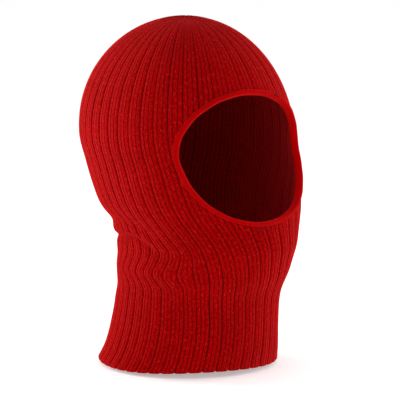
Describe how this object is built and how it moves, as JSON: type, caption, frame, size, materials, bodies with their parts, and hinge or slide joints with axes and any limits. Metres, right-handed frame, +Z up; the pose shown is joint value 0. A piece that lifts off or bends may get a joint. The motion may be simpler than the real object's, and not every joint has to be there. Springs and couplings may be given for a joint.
{
  "type": "ski mask",
  "caption": "Rib-knit ski mask that covers the head and the neck, with one bound oval opening for the face.",
  "frame": {"origin": "inside of the crown, where the mask rests on the top of the head", "axes": "+Z up, -Y out of the face opening, -X towards the wearer's right"},
  "size_m": [0.162, 0.22, 0.3022],
  "materials": {
    "rib_knit": "matte rib knit, deep red, soft fuzz",
    "binding_tape": "smooth fine jersey tape, bright red",
    "red_thread": "spun polyester thread, red",
    "red_yarn": "acrylic yarn, deep red",
    "label_satin": "blank woven satin, white"
  },
  "bodies": {
    "root": {"knit_body": "rib_knit", "face_binding": "binding_tape", "binding_needle_thread": "red_thread", "binding_looper_thread": "red_thread", "binding_bartack": "red_thread", "crown_gather_yarn": "red_yarn", "care_label": "label_satin", "label_stitch_left": "red_thread", "label_stitch_right": "red_thread"}
  },
  "joints": []
}
